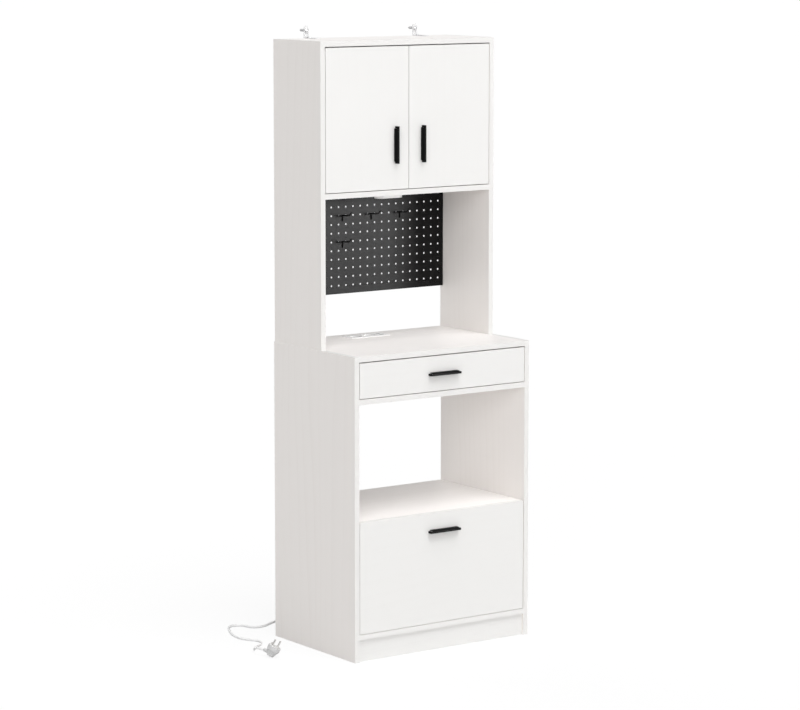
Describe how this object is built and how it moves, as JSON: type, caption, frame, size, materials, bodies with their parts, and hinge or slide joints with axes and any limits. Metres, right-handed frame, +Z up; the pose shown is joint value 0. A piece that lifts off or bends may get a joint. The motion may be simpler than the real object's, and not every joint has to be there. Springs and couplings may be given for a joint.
{
  "type": "microwave cabinet",
  "caption": "Tall kitchen cabinet with an open microwave bay, drawers, a hutch with doors, a pegboard, a lamp and a counter power outlet.",
  "frame": {"origin": "on the floor, in the middle of the width and depth of the object without its cord", "axes": "+X to the right seen from the front, +Y to the wall, +Z up; the doors and drawers face -Y"},
  "size_m": [0.7685, 0.5807, 1.735],
  "materials": {
    "side_board": "white wood-grain melamine, vertical grain, satin",
    "level_board": "white wood-grain melamine, grain along the board, satin",
    "front_board": "white wood-grain melamine, level grain, satin",
    "door_board": "white wood-grain melamine, vertical grain, satin",
    "back_panel": "white melamine, satin",
    "drawer_box": "white melamine, satin",
    "black_handle": "matt black powder coat",
    "pegboard_steel": "fine-textured black powder coat",
    "hook_steel": "satin black coat",
    "lamp_white": "white satin plastic",
    "lamp_lens": "milky diffuser plastic",
    "lamp_touch": "light grey satin plastic",
    "outlet_white": "white satin plastic",
    "socket_white": "white gloss plastic",
    "contact_metal": "nickel-plated brass",
    "usb_black": "black plastic with a white rim",
    "cord_white": "white soft vinyl",
    "bracket_white": "white powder coat",
    "screw_steel": "zinc plated",
    "wall_plug_grey": "grey nylon",
    "zinc": "bright zinc plate"
  },
  "bodies": {
    "carcass": {"base_side_left": "side_board", "base_side_right": "side_board", "bottom_panel": "level_board", "cam_bolts": "zinc", "cam_discs": "zinc", "cord": "cord_white", "cord_gland": "cord_white", "counter_top": "level_board", "cupboard_back_board": "back_panel", "drawer_back_board": "back_panel", "drawer_shelf": "level_board", "earth_clips": "contact_metal", "hinge_arms": "zinc", "hutch_pins": "zinc", "hutch_shelf": "level_board", "hutch_side_left": "side_board", "hutch_side_right": "side_board", "hutch_top": "level_board", "inner_shelf": "level_board", "lamp_diffuser": "lamp_lens", "lamp_housing": "lamp_white", "lamp_sensor": "lamp_touch", "lower_back_board": "back_panel", "microwave_shelf": "level_board", "outlet_housing": "outlet_white", "peg_hooks": "hook_steel", "pegboard": "pegboard_steel", "plinth_back": "level_board", "plinth_front": "level_board", "plug_body": "cord_white", "plug_earth_strips": "contact_metal", "plug_pins": "contact_metal", "runners_outer": "zinc", "shelf_pins": "zinc", "socket_inserts": "socket_white", "usb_ports": "usb_black", "wall_brackets": "bracket_white", "wall_plugs": "wall_plug_grey", "wall_screws": "screw_steel", "wood_screws": "screw_steel"},
    "left_door": {"door_left": "door_board", "hinge_cups_left": "zinc", "door_handle_left": "black_handle"},
    "right_door": {"door_right": "door_board", "hinge_cups_right": "zinc", "door_handle_right": "black_handle"},
    "drawer": {"drawer_front": "front_board", "drawer_sides": "drawer_box", "drawer_back": "drawer_box", "drawer_bottom": "drawer_box", "drawer_handle": "black_handle", "drawer_runners_inner": "zinc"},
    "drawer_slide_middle": {"drawer_runners_middle": "zinc"},
    "deep_drawer": {"deep_drawer_front": "front_board", "deep_drawer_sides": "drawer_box", "deep_drawer_back": "drawer_box", "deep_drawer_bottom": "drawer_box", "deep_drawer_handle": "black_handle", "deep_drawer_runners_inner": "zinc"},
    "deep_slide_middle": {"deep_drawer_runners_middle": "zinc"}
  },
  "joints": [
    {"name": "left_door_hinge", "type": "hinge", "parent": "carcass", "child": "left_door", "pos_m": [-0.28, -0.041, 1.4835], "axis": [0, 0, -1], "range_deg": [0, 100]},
    {"name": "right_door_hinge", "type": "hinge", "parent": "carcass", "child": "right_door", "pos_m": [0.28, -0.041, 1.4835], "axis": [0, 0, 1], "range_deg": [0, 100]},
    {"name": "drawer_slide", "type": "slide", "parent": "carcass", "child": "drawer", "axis": [0, -1, 0], "range_m": [0, 0.23]},
    {"name": "drawer_middle_slide", "type": "slide", "parent": "carcass", "child": "drawer_slide_middle", "axis": [0, -1, 0], "range_m": [0, 0.115]},
    {"name": "deep_drawer_slide", "type": "slide", "parent": "carcass", "child": "deep_drawer", "axis": [0, -1, 0], "range_m": [0, 0.32]},
    {"name": "deep_middle_slide", "type": "slide", "parent": "carcass", "child": "deep_slide_middle", "axis": [0, -1, 0], "range_m": [0, 0.16]}
  ],
  "couplings": [
    {"joint": "drawer_middle_slide", "follows": "drawer_slide", "ratio": 0.5},
    {"joint": "deep_middle_slide", "follows": "deep_drawer_slide", "ratio": 0.5}
  ]
}
